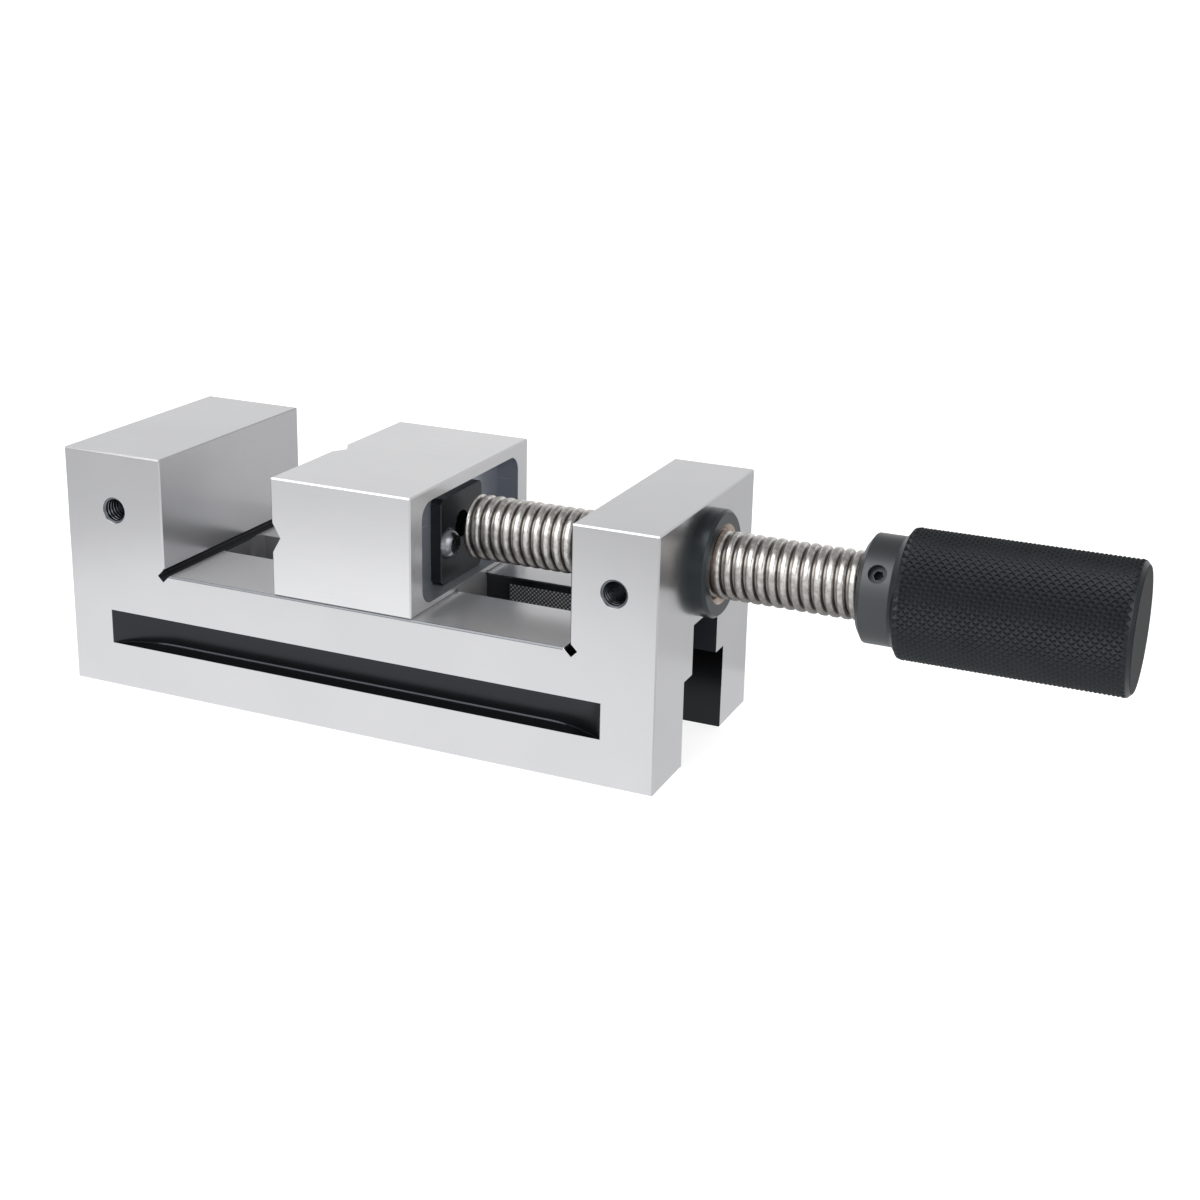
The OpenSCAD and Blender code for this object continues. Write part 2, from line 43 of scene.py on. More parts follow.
# A mask: 1 inside a box that is given in object space, with Y taken without its sign. It tells
# the recesses, which stay dark, from the ground faces.
group = bpy.data.node_groups.new("box_mask", "ShaderNodeTree")
group.interface.new_socket("Low", in_out="INPUT", socket_type="NodeSocketVector")
group.interface.new_socket("High", in_out="INPUT", socket_type="NodeSocketVector")
group.interface.new_socket("Mask", in_out="OUTPUT", socket_type="NodeSocketFloat")
links = group.links
ends = group.nodes.new("NodeGroupInput")
place = group.nodes.new("ShaderNodeTexCoord")
place_axes = group.nodes.new("ShaderNodeSeparateXYZ")
links.new(place.outputs["Object"], place_axes.inputs[0])
low_axes = group.nodes.new("ShaderNodeSeparateXYZ")
links.new(ends.outputs["Low"], low_axes.inputs[0])
high_axes = group.nodes.new("ShaderNodeSeparateXYZ")
links.new(ends.outputs["High"], high_axes.inputs[0])
product = None
for axis in range(3):
    value = place_axes.outputs[axis]
    if axis == 1:
        size = group.nodes.new("ShaderNodeMath")
        size.operation = "ABSOLUTE"
        links.new(value, size.inputs[0])
        value = size.outputs[0]
    above = group.nodes.new("ShaderNodeMath")
    above.operation = "GREATER_THAN"
    links.new(value, above.inputs[0])
    links.new(low_axes.outputs[axis], above.inputs[1])
    below = group.nodes.new("ShaderNodeMath")
    below.operation = "LESS_THAN"
    links.new(value, below.inputs[0])
    links.new(high_axes.outputs[axis], below.inputs[1])
    for test in (above, below):
        if product is None:
            product = test.outputs[0]
        else:
            both = group.nodes.new("ShaderNodeMath")
            both.operation = "MULTIPLY"
            links.new(product, both.inputs[0])
            links.new(test.outputs[0], both.inputs[1])
            product = both.outputs[0]
out = group.nodes.new("NodeGroupOutput")
links.new(product, out.inputs["Mask"])

# Marks of a surface grinder. Fine lines run along X, and along Y on the faces that look
# along X. The group gives the lines, a slow cloudy stain and a faint normal.
group = bpy.data.node_groups.new("grinding_marks", "ShaderNodeTree")
group.interface.new_socket("Lines", in_out="OUTPUT", socket_type="NodeSocketFloat")
group.interface.new_socket("Stain", in_out="OUTPUT", socket_type="NodeSocketFloat")
group.interface.new_socket("Normal", in_out="OUTPUT", socket_type="NodeSocketVector")
links = group.links
place = group.nodes.new("ShaderNodeTexCoord")
facing = group.nodes.new("ShaderNodeSeparateXYZ")
links.new(place.outputs["Normal"], facing.inputs[0])
facing_size = group.nodes.new("ShaderNodeMath")
facing_size.operation = "ABSOLUTE"
links.new(facing.outputs["X"], facing_size.inputs[0])
end_face = group.nodes.new("ShaderNodeMath")
end_face.operation = "GREATER_THAN"
links.new(facing_size.outputs[0], end_face.inputs[0])
end_face.inputs[1].default_value = 0.7
along_x = group.nodes.new("ShaderNodeVectorMath")
along_x.operation = "MULTIPLY"
links.new(place.outputs["Object"], along_x.inputs[0])
along_x.inputs[1].default_value = (30, 2400, 2400)
along_y = group.nodes.new("ShaderNodeVectorMath")
along_y.operation = "MULTIPLY"
links.new(place.outputs["Object"], along_y.inputs[0])
along_y.inputs[1].default_value = (2400, 40, 2400)
chosen = group.nodes.new("ShaderNodeMix")
chosen.data_type = "VECTOR"
links.new(end_face.outputs[0], chosen.inputs[0])
links.new(along_x.outputs[0], chosen.inputs[4])
links.new(along_y.outputs[0], chosen.inputs[5])
lines = group.nodes.new("ShaderNodeTexNoise")
lines.inputs["Scale"].default_value = 1
lines.inputs["Detail"].default_value = 3
links.new(chosen.outputs[1], lines.inputs["Vector"])
stain = group.nodes.new("ShaderNodeTexNoise")
stain.inputs["Scale"].default_value = 28
stain.inputs["Detail"].default_value = 4
links.new(place.outputs["Object"], stain.inputs["Vector"])
bump = group.nodes.new("ShaderNodeBump")
bump.inputs["Strength"].default_value = 0.06
bump.inputs["Distance"].default_value = 0.00002
links.new(lines.outputs[0], bump.inputs["Height"])
out = group.nodes.new("NodeGroupOutput")
links.new(lines.outputs[0], out.inputs["Lines"])
links.new(stain.outputs[0], out.inputs["Stain"])
links.new(bump.outputs[0], out.inputs["Normal"])

# A mask: 1 along outside edges, where the bevelled normal departs from the flat one
group = bpy.data.node_groups.new("edge_wear", "ShaderNodeTree")
group.interface.new_socket("Radius", in_out="INPUT", socket_type="NodeSocketFloat")
group.interface.new_socket("Edge", in_out="OUTPUT", socket_type="NodeSocketFloat")
links = group.links
ends = group.nodes.new("NodeGroupInput")
rounded = group.nodes.new("ShaderNodeBevel")
rounded.samples = 4
links.new(ends.outputs["Radius"], rounded.inputs["Radius"])
flat = group.nodes.new("ShaderNodeNewGeometry")
agree = group.nodes.new("ShaderNodeVectorMath")
agree.operation = "DOT_PRODUCT"
links.new(rounded.outputs[0], agree.inputs[0])
links.new(flat.outputs["True Normal"], agree.inputs[1])
span = group.nodes.new("ShaderNodeMapRange")
span.inputs["From Min"].default_value = 0.995
span.inputs["From Max"].default_value = 0.88
links.new(agree.outputs["Value"], span.inputs["Value"])
out = group.nodes.new("NodeGroupOutput")
links.new(span.outputs[0], out.inputs["Edge"])

# Two sets of fine milling marks that cross at right angles on a wall along X
group = bpy.data.node_groups.new("crossed_marks", "ShaderNodeTree")
group.interface.new_socket("Marks", in_out="OUTPUT", socket_type="NodeSocketFloat")
links = group.links
place = group.nodes.new("ShaderNodeTexCoord")
product = group.nodes.new("ShaderNodeMath")
product.operation = "MULTIPLY"
for which, way in enumerate((1, -1)):
    slant = group.nodes.new("ShaderNodeVectorMath")
    slant.operation = "DOT_PRODUCT"
    slant.inputs[1].default_value = (1, 0, way)
    links.new(place.outputs["Object"], slant.inputs[0])
    wave = group.nodes.new("ShaderNodeMath")
    wave.operation = "MULTIPLY"
    wave.inputs[1].default_value = 4900
    links.new(slant.outputs["Value"], wave.inputs[0])
    crest = group.nodes.new("ShaderNodeMath")
    crest.operation = "SINE"
    links.new(wave.outputs[0], crest.inputs[0])
    shift = group.nodes.new("ShaderNodeMapRange")
    shift.inputs["From Min"].default_value = -1
    links.new(crest.outputs[0], shift.inputs["Value"])
    links.new(shift.outputs[0], product.inputs[which])
out = group.nodes.new("NodeGroupOutput")
links.new(product.outputs[0], out.inputs["Marks"])

# Ground steel, with dark scale in the recesses and lighter edges where it has worn through
steel = bpy.data.materials.new("ground_body")
steel.use_nodes = True
links = steel.node_tree.links
shader = steel.node_tree.nodes["Principled BSDF"]
marks = steel.node_tree.nodes.new("ShaderNodeGroup")
marks.node_tree = bpy.data.node_groups["grinding_marks"]
bright = steel.node_tree.nodes.new("ShaderNodeMix")
bright.data_type = "RGBA"
bright.inputs[6].default_value = (0.655, 0.655, 0.668, 1)
bright.inputs[7].default_value = (0.575, 0.578, 0.596, 1)
links.new(marks.outputs["Stain"], bright.inputs[0])
colour = bright.outputs[2]
edge = steel.node_tree.nodes.new("ShaderNodeGroup")
edge.node_tree = bpy.data.node_groups["edge_wear"]
edge.inputs["Radius"].default_value = 0.0003
for tone, low, high in (
    (0.037, (-0.1400, 0.0300, 0.0135), (0.0220, 0.0364, 0.0242)),  # side slots
    # painted highlight: a thin lighter band along the inner lip of the slots' floor
    (0.240, (-0.1400, 0.0300, 0.0135), (0.0220, 0.0311, 0.01385)),  # inner lip of their floor
    # partly painted shade: the wide channel's dark scale is darkened further, for the shadowed
    # floor that it reflects
    (0.025, (-0.1189, -0.0010, -0.0010), (0.0366, 0.0156, 0.0255)),  # wide channel
    (0.150, (-0.1189, -0.0010, 0.0253), (0.0366, 0.0096, 0.0379)),  # narrow channel
    (0.130, (0.0116, -0.0010, 0.0370), (0.0366, 0.0096, 0.0401)),  # its way under the nut
    (0.030, (-0.1217, -0.0010, 0.0355), (-0.1175, 0.03645, 0.03799)),  # relief, fixed jaw
    (0.030, (-0.1217, -0.0010, 0.0379), (-0.11931, 0.03645, 0.0399)),
    (0.030, (0.0099, -0.0010, 0.0355), (0.0141, 0.03645, 0.03799)),  # relief, nut block
    (0.030, (0.01171, -0.0010, 0.0379), (0.0141, 0.03645, 0.0399)),
    # painted shade: the bevels along the bed are darkened so that they show no bright line
    (0.170, (-0.1185, 0.0359, 0.0374), (0.0098, 0.0366, 0.0381)),  # bevels along the bed
):
    box = steel.node_tree.nodes.new("ShaderNodeGroup")
    box.node_tree = bpy.data.node_groups["box_mask"]
    box.inputs["Low"].default_value = low
    box.inputs["High"].default_value = high
    scale = steel.node_tree.nodes.new("ShaderNodeMix")
    scale.data_type = "RGBA"
    scale.inputs[6].default_value = (tone, tone * 1.04, tone * 1.13, 1)
    scale.inputs[7].default_value = (0.24, 0.24, 0.245, 1)
    links.new(edge.outputs["Edge"], scale.inputs[0])
    layer = steel.node_tree.nodes.new("ShaderNodeMix")
    layer.data_type = "RGBA"
    links.new(box.outputs[0], layer.inputs[0])
    links.new(colour, layer.inputs[6])
    links.new(scale.outputs[2], layer.inputs[7])
    colour = layer.outputs[2]
# Crossed milling marks on the walls of the narrow channel, in front of the nut block
hatch = steel.node_tree.nodes.new("ShaderNodeGroup")
hatch.node_tree = bpy.data.node_groups["crossed_marks"]
box = steel.node_tree.nodes.new("ShaderNodeGroup")
box.node_tree = bpy.data.node_groups["box_mask"]
box.inputs["Low"].default_value = (-0.0290, 0.0090, 0.0253)
box.inputs["High"].default_value = (0.0115, 0.0096, 0.0356)
milled = steel.node_tree.nodes.new("ShaderNodeMix")
milled.data_type = "RGBA"
milled.inputs[6].default_value = (0.06, 0.065, 0.07, 1)
milled.inputs[7].default_value = (0.90, 0.91, 0.92, 1)
links.new(hatch.outputs["Marks"], milled.inputs[0])
layer = steel.node_tree.nodes.new("ShaderNodeMix")
layer.data_type = "RGBA"
links.new(box.outputs[0], layer.inputs[0])
links.new(colour, layer.inputs[6])
links.new(milled.outputs[2], layer.inputs[7])
colour = layer.outputs[2]
# The same walls between the jaws, where a dull film scatters the light and thins out along X;
# its lighter grey, near the fixed jaw, is painted light
wall = steel.node_tree.nodes.new("ShaderNodeGroup")
wall.node_tree = bpy.data.node_groups["box_mask"]
wall.inputs["Low"].default_value = (-0.1189, 0.0090, 0.0253)
wall.inputs["High"].default_value = (-0.0290, 0.0096, 0.0379)
place = steel.node_tree.nodes.new("ShaderNodeTexCoord")
axes = steel.node_tree.nodes.new("ShaderNodeSeparateXYZ")
links.new(place.outputs["Object"], axes.inputs[0])
fade_along_x = steel.node_tree.nodes.new("ShaderNodeMapRange")
fade_along_x.inputs["From Min"].default_value = -0.035
fade_along_x.inputs["From Max"].default_value = -0.090
links.new(axes.outputs["X"], fade_along_x.inputs["Value"])
film_and_painted_light = steel.node_tree.nodes.new("ShaderNodeMath")
film_and_painted_light.operation = "MULTIPLY"
links.new(wall.outputs[0], film_and_painted_light.inputs[0])
links.new(fade_along_x.outputs[0], film_and_painted_light.inputs[1])
# painted light: the walls are a lighter grey near the fixed jaw, fading to the channel's tone
# along X
layer = steel.node_tree.nodes.new("ShaderNodeMix")
layer.data_type = "RGBA"
layer.inputs[7].default_value = (0.24, 0.245, 0.255, 1)
links.new(film_and_painted_light.outputs[0], layer.inputs[0])
links.new(colour, layer.inputs[6])
colour = layer.outputs[2]
dull = steel.node_tree.nodes.new("ShaderNodeMath")
dull.operation = "MAXIMUM"
links.new(box.outputs[0], dull.inputs[0])
links.new(film_and_painted_light.outputs[0], dull.inputs[1])
dull_mask = dull.outputs[0]
# The fixed jaw's inner face and the top of the bed are lapped and scatter some of their light;
# the channel's end under the fixed jaw is painted a light dull grey as a painted reflection,
# and the channel's walls under the nut are a dark dull grey
for amount, tone, low, high in (
    # Channel's end under the fixed jaw: light grey, a painted reflection
    (1.0, (0.30, 0.30, 0.31, 1), (-0.1192, -0.0010, 0.0253), (-0.1150, 0.0100, 0.0379)),
    # Fixed jaw's inner face
    (0.3, None, (-0.1196, -0.0010, 0.0399), (-0.1189, 0.0364, 0.0728)),
    # Top of the bed
    (0.5, None, (-0.1189, -0.0010, 0.0375), (0.0117, 0.0358, 0.0382)),
    # Channel's walls under the nut
    (1.0, (0.045, 0.05, 0.06, 1), (0.0116, 0.0090, 0.0253), (0.0366, 0.0096, 0.0401)),
):
    box = steel.node_tree.nodes.new("ShaderNodeGroup")
    box.node_tree = bpy.data.node_groups["box_mask"]
    box.inputs["Low"].default_value = low
    box.inputs["High"].default_value = high
    part = steel.node_tree.nodes.new("ShaderNodeMath")
    part.operation = "MULTIPLY"
    part.inputs[1].default_value = amount
    links.new(box.outputs[0], part.inputs[0])
    both = steel.node_tree.nodes.new("ShaderNodeMath")
    both.operation = "MAXIMUM"
    links.new(dull_mask, both.inputs[0])
    links.new(part.outputs[0], both.inputs[1])
    dull_mask = both.outputs[0]
    if tone:
        layer = steel.node_tree.nodes.new("ShaderNodeMix")
        layer.data_type = "RGBA"
        layer.inputs[7].default_value = tone
        links.new(box.outputs[0], layer.inputs[0])
        links.new(colour, layer.inputs[6])
        colour = layer.outputs[2]
metal = steel.node_tree.nodes.new("ShaderNodeMapRange")
metal.inputs["To Min"].default_value = 1
metal.inputs["To Max"].default_value = 0.15
links.new(dull_mask, metal.inputs["Value"])
links.new(metal.outputs[0], shader.inputs["Metallic"])
# Tapped holes: dark, with the thread as a ring pattern along the hole
normal = marks.outputs["Normal"]
place = steel.node_tree.nodes.new("ShaderNodeTexCoord")
rings = steel.node_tree.nodes.new("ShaderNodeTexWave")
rings.bands_direction = "Y"
rings.inputs["Scale"].default_value = 251
links.new(place.outputs["Object"], rings.inputs["Vector"])
thread = steel.node_tree.nodes.new("ShaderNodeBump")
thread.inputs["Strength"].default_value = 1
thread.inputs["Distance"].default_value = 0.0004
links.new(rings.outputs["Fac"], thread.inputs["Height"])
for low, high in (
    ((-0.1405, 0.0200, 0.0512), (-0.1321, 0.03645, 0.0598)),
    ((0.0200, 0.0200, 0.0512), (0.0284, 0.03645, 0.0598)),
):
    box = steel.node_tree.nodes.new("ShaderNodeGroup")
    box.node_tree = bpy.data.node_groups["box_mask"]
    box.inputs["Low"].default_value = low
    box.inputs["High"].default_value = high
    layer = steel.node_tree.nodes.new("ShaderNodeMix")
    layer.data_type = "RGBA"
    layer.inputs[7].default_value = (0.16, 0.17, 0.185, 1)
    links.new(box.outputs[0], layer.inputs[0])
    links.new(colour, layer.inputs[6])
    colour = layer.outputs[2]
    turned_normal = steel.node_tree.nodes.new("ShaderNodeMix")
    turned_normal.data_type = "VECTOR"
    links.new(box.outputs[0], turned_normal.inputs[0])
    links.new(normal, turned_normal.inputs[4])
    links.new(thread.outputs[0], turned_normal.inputs[5])
    normal = turned_normal.outputs[1]
links.new(colour, shader.inputs["Base Color"])
links.new(normal, shader.inputs["Normal"])
rough = steel.node_tree.nodes.new("ShaderNodeMapRange")
rough.inputs["To Min"].default_value = 0.20
rough.inputs["To Max"].default_value = 0.28
links.new(marks.outputs["Lines"], rough.inputs["Value"])
links.new(rough.outputs[0], shader.inputs["Roughness"])
nodes["body"].data.materials.clear()
nodes["body"].data.materials.append(steel)


# Sliding jaw: one piece with its tongue, hardened and ground like the body. The pocket in its
# back was milled before hardening; its darker bluish grey is painted shade, and its lighter
# sill is painted light.
steel = bpy.data.materials.new("ground_jaw")
steel.use_nodes = True
links = steel.node_tree.links
shader = steel.node_tree.nodes["Principled BSDF"]
marks = steel.node_tree.nodes.new("ShaderNodeGroup")
marks.node_tree = bpy.data.node_groups["grinding_marks"]
links.new(marks.outputs["Normal"], shader.inputs["Normal"])
box = steel.node_tree.nodes.new("ShaderNodeGroup")
box.node_tree = bpy.data.node_groups["box_mask"]
box.inputs["Low"].default_value = (-0.0530, -0.0010, 0.0393)
box.inputs["High"].default_value = (-0.03665, 0.0300, 0.0696)
bright = steel.node_tree.nodes.new("ShaderNodeMix")
bright.data_type = "RGBA"
bright.inputs[6].default_value = (0.760, 0.760, 0.772, 1)
bright.inputs[7].default_value = (0.682, 0.685, 0.702, 1)
links.new(marks.outputs["Stain"], bright.inputs[0])
# painted shade: the pocket is a darker bluish grey than the ground faces
colour = steel.node_tree.nodes.new("ShaderNodeMix")
colour.data_type = "RGBA"
colour.inputs[7].default_value = (0.42, 0.45, 0.51, 1)
links.new(box.outputs[0], colour.inputs[0])
links.new(bright.outputs[2], colour.inputs[6])
sill = steel.node_tree.nodes.new("ShaderNodeGroup")
sill.node_tree = bpy.data.node_groups["box_mask"]
sill.inputs["Low"].default_value = (-0.0530, -0.0010, 0.0393)
sill.inputs["High"].default_value = (-0.03665, 0.0300, 0.03985)
# painted light: the sill is lighter than the rest of the pocket
sill_painted_light = steel.node_tree.nodes.new("ShaderNodeMix")
sill_painted_light.data_type = "RGBA"
sill_painted_light.inputs[7].default_value = (0.50, 0.51, 0.54, 1)
links.new(sill.outputs[0], sill_painted_light.inputs[0])
links.new(colour.outputs[2], sill_painted_light.inputs[6])
links.new(sill_painted_light.outputs[2], shader.inputs["Base Color"])
# The jaw's back, the tongue's end and the pocket scatter light more evenly than ground faces do
scatter = steel.node_tree.nodes.new("ShaderNodeGroup")
scatter.node_tree = bpy.data.node_groups["box_mask"]
scatter.inputs["Low"].default_value = (-0.0372, -0.0010, 0.0240)
scatter.inputs["High"].default_value = (-0.0360, 0.0363, 0.0727)
dull = steel.node_tree.nodes.new("ShaderNodeMath")
dull.operation = "MAXIMUM"
links.new(box.outputs[0], dull.inputs[0])
links.new(scatter.outputs[0], dull.inputs[1])
metal = steel.node_tree.nodes.new("ShaderNodeMapRange")
metal.inputs["To Min"].default_value = 1
metal.inputs["To Max"].default_value = 0.55
links.new(dull.outputs[0], metal.inputs["Value"])
links.new(metal.outputs[0], shader.inputs["Metallic"])
rough = steel.node_tree.nodes.new("ShaderNodeMapRange")
rough.inputs["To Min"].default_value = 0.20
rough.inputs["To Max"].default_value = 0.30
links.new(marks.outputs["Lines"], rough.inputs["Value"])
links.new(rough.outputs[0], shader.inputs["Roughness"])
nodes["sliding_jaw"].data.materials.clear()
nodes["sliding_jaw"].data.materials.append(steel)


# Keeper plate: ground steel with oil in its pores, a little darker than the body. Two screws
# hold it to the tongue from below, in the wide channel.
steel = bpy.data.materials.new("keeper_steel")
steel.use_nodes = True
links = steel.node_tree.links
shader = steel.node_tree.nodes["Principled BSDF"]
shader.inputs["Metallic"].default_value = 1
marks = steel.node_tree.nodes.new("ShaderNodeGroup")
marks.node_tree = bpy.data.node_groups["grinding_marks"]
links.new(marks.outputs["Normal"], shader.inputs["Normal"])
colour = steel.node_tree.nodes.new("ShaderNodeMix")
colour.data_type = "RGBA"
colour.inputs[6].default_value = (0.50, 0.50, 0.51, 1)
colour.inputs[7].default_value = (0.38, 0.38, 0.39, 1)
links.new(marks.outputs["Stain"], colour.inputs[0])
links.new(colour.outputs[2], shader.inputs["Base Color"])
rough = steel.node_tree.nodes.new("ShaderNodeMapRange")
rough.inputs["To Min"].default_value = 0.30
rough.inputs["To Max"].default_value = 0.45
links.new(marks.outputs["Lines"], rough.inputs["Value"])
links.new(rough.outputs[0], shader.inputs["Roughness"])
nodes["keeper_plate"].data.materials.clear()
nodes["keeper_plate"].data.materials.append(steel)


# Retaining plate, keeper screws and set screw: small steel parts with black oxide, a thin even
# blue-black film that is worn to grey along the edges.
black = bpy.data.materials.new("black_oxide")
black.use_nodes = True
links = black.node_tree.links
shader = black.node_tree.nodes["Principled BSDF"]
shader.inputs["Metallic"].default_value = 0.6
shader.inputs["Roughness"].default_value = 0.36
place = black.node_tree.nodes.new("ShaderNodeTexCoord")
cloud = black.node_tree.nodes.new("ShaderNodeTexNoise")
cloud.inputs["Scale"].default_value = 220
cloud.inputs["Detail"].default_value = 5
links.new(place.outputs["Object"], cloud.inputs["Vector"])
film = black.node_tree.nodes.new("ShaderNodeMix")
film.data_type = "RGBA"
film.inputs[6].default_value = (0.018, 0.022, 0.026, 1)
film.inputs[7].default_value = (0.034, 0.040, 0.045, 1)
links.new(cloud.outputs[0], film.inputs[0])
edge = black.node_tree.nodes.new("ShaderNodeGroup")
edge.node_tree = bpy.data.node_groups["edge_wear"]
edge.inputs["Radius"].default_value = 0.0003
colour = black.node_tree.nodes.new("ShaderNodeMix")
colour.data_type = "RGBA"
colour.inputs[7].default_value = (0.10, 0.105, 0.11, 1)
links.new(edge.outputs["Edge"], colour.inputs[0])
links.new(film.outputs[2], colour.inputs[6])
links.new(colour.outputs[2], shader.inputs["Base Color"])
for name in ("retaining_plate", "keeper_screws", "handle_set_screw"):
    nodes[name].data.materials.clear()
    nodes[name].data.materials.append(black)


# Retaining screws: two steel button heads that hold the retaining plate in the jaw's pocket.
# Their black film is polished away in use, so they shine.
steel = bpy.data.materials.new("worn_screw_steel")
steel.use_nodes = True
links = steel.node_tree.links
shader = steel.node_tree.nodes["Principled BSDF"]
shader.inputs["Metallic"].default_value = 1
place = steel.node_tree.nodes.new("ShaderNodeTexCoord")
rubbed_and_sheen = steel.node_tree.nodes.new("ShaderNodeTexNoise")
rubbed_and_sheen.inputs["Scale"].default_value = 420
rubbed_and_sheen.inputs["Detail"].default_value = 4
links.new(place.outputs["Object"], rubbed_and_sheen.inputs["Vector"])
colour = steel.node_tree.nodes.new("ShaderNodeMix")
colour.data_type = "RGBA"
colour.inputs[6].default_value = (0.16, 0.17, 0.19, 1)
colour.inputs[7].default_value = (0.50, 0.51, 0.55, 1)
links.new(rubbed_and_sheen.outputs[0], colour.inputs[0])
links.new(colour.outputs[2], shader.inputs["Base Color"])
rough = steel.node_tree.nodes.new("ShaderNodeMapRange")
rough.inputs["To Min"].default_value = 0.18
rough.inputs["To Max"].default_value = 0.34
links.new(rubbed_and_sheen.outputs[0], rough.inputs["Value"])
links.new(rough.outputs[0], shader.inputs["Roughness"])
nodes["retaining_screws"].data.materials.clear()
nodes["retaining_screws"].data.materials.append(steel)


# Thrust collar and its pin: plain turned steel, hidden in the sliding jaw. The pin goes through
# the collar and the screw's neck, and the retaining plate holds the collar in.
steel = bpy.data.materials.new("turned_steel")
steel.use_nodes = True
links = steel.node_tree.links
shader = steel.node_tree.nodes["Principled BSDF"]
shader.inputs["Metallic"].default_value = 1
shader.inputs["Base Color"].default_value = (0.60, 0.59, 0.57, 1)
place = steel.node_tree.nodes.new("ShaderNodeTexCoord")
lathe = steel.node_tree.nodes.new("ShaderNodeTexNoise")
lathe.inputs["Scale"].default_value = 900
links.new(place.outputs["Object"], lathe.inputs["Vector"])
rough = steel.node_tree.nodes.new("ShaderNodeMapRange")
rough.inputs["To Min"].default_value = 0.22
rough.inputs["To Max"].default_value = 0.36
links.new(lathe.outputs[0], rough.inputs["Value"])
links.new(rough.outputs[0], shader.inputs["Roughness"])
for name in ("thrust_collar", "thrust_pin"):
    nodes[name].data.materials.clear()
    nodes[name].data.materials.append(steel)


# Screw: turned steel with a coarse thread, a neck in front and a plain end under the handle.
# One pitch of the thread's outline is turned round the X axis, cut to length and joined to the
# plain ends. Its grooves are darker, partly from oil and partly as painted shade.
screw_height = 0.0555
pitch = 0.003175
thread_start = -0.0354
thread_end = 0.0820
bpy.ops.object.select_all(action="DESELECT")
bpy.ops.mesh.primitive_plane_add(size=0.001)
screw = bpy.context.object
screw.name = "screw_thread"
bpy.ops.object.mode_set(mode="EDIT")
bpy.ops.mesh.select_all(action="SELECT")
bpy.ops.mesh.merge(type="CENTER")
bpy.ops.transform.translate(value=(0, 0.0081, 0))
for step in (
    (0.00020, 0.00060), (0.00013, 0.00035), (0.00018, 0.00027), (0.00024, 0.00014),
    (0.00028, 0.00004), (0.0006325, 0.0), (0.00028, -0.00004), (0.00024, -0.00014),
    (0.00018, -0.00027), (0.00013, -0.00035), (0.00020, -0.00060), (0.0004825, 0.0),
):
    bpy.ops.mesh.extrude_region_move(TRANSFORM_OT_translate={"value": (step[0], step[1], 0)})
bpy.ops.object.mode_set(mode="OBJECT")
turns = screw.modifiers.new("turns", "SCREW")
turns.axis = "X"
turns.angle = math.tau
turns.screw_offset = pitch
turns.iterations = 40
turns.steps = 48
turns.render_steps = 48
turns.use_merge_vertices = True
turns.merge_threshold = 0.000002
bpy.ops.object.modifier_apply(modifier="turns")
bpy.ops.object.mode_set(mode="EDIT")
bpy.ops.mesh.select_all(action="SELECT")
bpy.ops.transform.translate(value=(-0.0401625, 0, screw_height))
bpy.ops.mesh.bisect(
    plane_co=(thread_start, 0, 0), plane_no=(1, 0, 0), use_fill=True, clear_inner=True)
bpy.ops.mesh.select_all(action="SELECT")
bpy.ops.mesh.bisect(
    plane_co=(thread_end, 0, 0), plane_no=(1, 0, 0), use_fill=True, clear_outer=True)
bpy.ops.mesh.select_all(action="SELECT")
bpy.ops.mesh.normals_make_consistent(inside=False)
bpy.ops.object.mode_set(mode="OBJECT")

# A bar with chamfered ends, which trims the ends of the thread
bpy.ops.object.select_all(action="DESELECT")
bpy.ops.mesh.primitive_plane_add(size=0.001)
core = bpy.context.object
core.name = "screw_core"
bpy.ops.object.mode_set(mode="EDIT")
bpy.ops.mesh.select_all(action="SELECT")
bpy.ops.mesh.merge(type="CENTER")
bpy.ops.transform.translate(value=(thread_start, 0, 0))
for step in (
    (0.0, 0.0079), (0.0, 0.0002), (0.0018, 0.0018), (0.1153, 0.0),
    (0.0003, -0.0003), (0.0, -0.0096),
):
    bpy.ops.mesh.extrude_region_move(TRANSFORM_OT_translate={"value": (step[0], step[1], 0)})
bpy.ops.mesh.select_all(action="SELECT")
bpy.ops.mesh.spin(steps=64, angle=math.tau, center=(0, 0, 0), axis=(1, 0, 0))
bpy.ops.mesh.select_all(action="SELECT")
bpy.ops.mesh.remove_doubles(threshold=0.000001)
bpy.ops.mesh.normals_make_consistent(inside=False)
bpy.ops.transform.translate(value=(0, 0, screw_height))
bpy.ops.object.mode_set(mode="OBJECT")
cut = screw.modifiers.new("cut", "BOOLEAN")
cut.operation = "INTERSECT"
cut.solver = "EXACT"
cut.object = core
bpy.context.view_layer.objects.active = screw
bpy.ops.object.modifier_apply(modifier="cut")
bpy.data.objects.remove(core)

# The neck in front and the plain end under the handle, then the hole for the pin in the neck
for start, length, radius in ((-0.0558, 0.0240, 0.0040), (0.0810, 0.0311, 0.0070)):
    bpy.ops.object.select_all(action="DESELECT")
    bpy.ops.mesh.primitive_cylinder_add(
        vertices=48, radius=radius, depth=length,
        location=(start + length / 2, 0, screw_height), rotation=(0, math.pi / 2, 0))
    plain = bpy.context.object
    bpy.ops.object.transform_apply(location=True, rotation=True, scale=True)
    add = screw.modifiers.new("add", "BOOLEAN")
    add.operation = "UNION"
    add.solver = "EXACT"
    add.object = plain
    bpy.context.view_layer.objects.active = screw
    bpy.ops.object.modifier_apply(modifier="add")
    bpy.data.objects.remove(plain)
bpy.ops.object.select_all(action="DESELECT")
bpy.ops.mesh.primitive_cylinder_add(
    vertices=32, radius=0.00102, depth=0.010, location=(-0.0468, 0, screw_height))
drill = bpy.context.object
